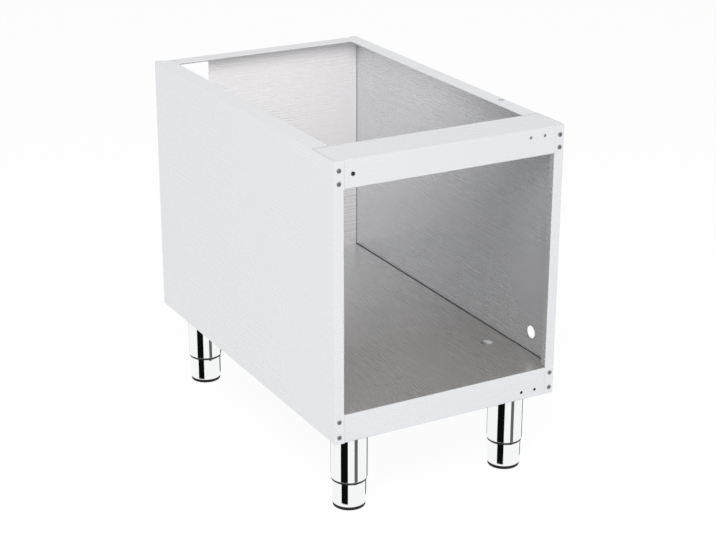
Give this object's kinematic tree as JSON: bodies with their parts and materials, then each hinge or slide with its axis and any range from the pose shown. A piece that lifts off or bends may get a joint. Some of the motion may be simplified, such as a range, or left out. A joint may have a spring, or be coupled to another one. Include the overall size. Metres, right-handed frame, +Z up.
{
  "type": "open base cabinet",
  "caption": "Open stainless steel base cabinet of folded sheet, with a front bay, an open flanged top and round levelling legs.",
  "frame": {"origin": "on the ground under the middle of the cabinet", "axes": "+Z up, +Y to the back, +X to the right as seen from the front"},
  "size_m": [0.4, 0.659, 0.588],
  "materials": {
    "brushed_stainless": "fine satin brushed sheet",
    "mill_stainless": "dull mill finish",
    "polished_stainless": "mirror polished",
    "rivet_steel": "dull drawn steel",
    "zinc_plated_steel": "bright zinc plating",
    "black_nylon": "moulded black nylon",
    "black_rubber": "moulded black rubber"
  },
  "bodies": {
    "cabinet": {"left_side_panel": "brushed_stainless", "right_side_panel": "brushed_stainless", "back_panel": "brushed_stainless", "floor_panel": "brushed_stainless", "head_rail": "brushed_stainless", "head_cleat_left": "mill_stainless", "head_cleat_right": "mill_stainless", "foot_cleat_left": "mill_stainless", "foot_cleat_right": "mill_stainless", "leg_bearer_left": "mill_stainless", "leg_bearer_right": "mill_stainless", "stile_rivets": "rivet_steel", "floor_rivets": "rivet_steel", "leg_bolts": "zinc_plated_steel", "leg_nuts": "zinc_plated_steel", "leg_plate_front_left": "mill_stainless", "leg_tube_front_left": "polished_stainless", "leg_insert_front_left": "black_nylon", "leg_plate_front_right": "mill_stainless", "leg_tube_front_right": "polished_stainless", "leg_insert_front_right": "black_nylon", "leg_plate_rear_left": "mill_stainless", "leg_tube_rear_left": "polished_stainless", "leg_insert_rear_left": "black_nylon", "leg_plate_rear_right": "mill_stainless", "leg_tube_rear_right": "polished_stainless", "leg_insert_rear_right": "black_nylon", "door_buffer": "black_rubber"},
    "pad_front_left": {"foot_pad_front_left": "black_rubber"},
    "foot_front_left": {"foot_barrel_front_left": "polished_stainless", "foot_stud_front_left": "zinc_plated_steel"},
    "pad_front_right": {"foot_pad_front_right": "black_rubber"},
    "foot_front_right": {"foot_barrel_front_right": "polished_stainless", "foot_stud_front_right": "zinc_plated_steel"},
    "pad_rear_left": {"foot_pad_rear_left": "black_rubber"},
    "foot_rear_left": {"foot_barrel_rear_left": "polished_stainless", "foot_stud_rear_left": "zinc_plated_steel"},
    "pad_rear_right": {"foot_pad_rear_right": "black_rubber"},
    "foot_rear_right": {"foot_barrel_rear_right": "polished_stainless", "foot_stud_rear_right": "zinc_plated_steel"}
  },
  "joints": [
    {"name": "pad_slide_front_left", "type": "slide", "parent": "cabinet", "child": "pad_front_left", "axis": [0, 0, -1], "range_m": [0, 0.025]},
    {"name": "foot_screw_front_left", "type": "hinge", "parent": "pad_front_left", "child": "foot_front_left", "pos_m": [-0.1455, -0.274, 0.02], "axis": [0, 0, -1], "range_deg": [0, 4500]},
    {"name": "pad_slide_front_right", "type": "slide", "parent": "cabinet", "child": "pad_front_right", "axis": [0, 0, -1], "range_m": [0, 0.025]},
    {"name": "foot_screw_front_right", "type": "hinge", "parent": "pad_front_right", "child": "foot_front_right", "pos_m": [0.1455, -0.274, 0.02], "axis": [0, 0, -1], "range_deg": [0, 4500]},
    {"name": "pad_slide_rear_left", "type": "slide", "parent": "cabinet", "child": "pad_rear_left", "axis": [0, 0, -1], "range_m": [0, 0.025]},
    {"name": "foot_screw_rear_left", "type": "hinge", "parent": "pad_rear_left", "child": "foot_rear_left", "pos_m": [-0.1455, 0.274, 0.02], "axis": [0, 0, -1], "range_deg": [0, 4500]},
    {"name": "pad_slide_rear_right", "type": "slide", "parent": "cabinet", "child": "pad_rear_right", "axis": [0, 0, -1], "range_m": [0, 0.025]},
    {"name": "foot_screw_rear_right", "type": "hinge", "parent": "pad_rear_right", "child": "foot_rear_right", "pos_m": [0.1455, 0.274, 0.02], "axis": [0, 0, -1], "range_deg": [0, 4500]}
  ],
  "couplings": [
    {"joint": "pad_slide_front_left", "follows": "foot_screw_front_left", "m_per_rad": 0.00031831},
    {"joint": "pad_slide_front_right", "follows": "foot_screw_front_right", "m_per_rad": 0.00031831},
    {"joint": "pad_slide_rear_left", "follows": "foot_screw_rear_left", "m_per_rad": 0.00031831},
    {"joint": "pad_slide_rear_right", "follows": "foot_screw_rear_right", "m_per_rad": 0.00031831}
  ]
}
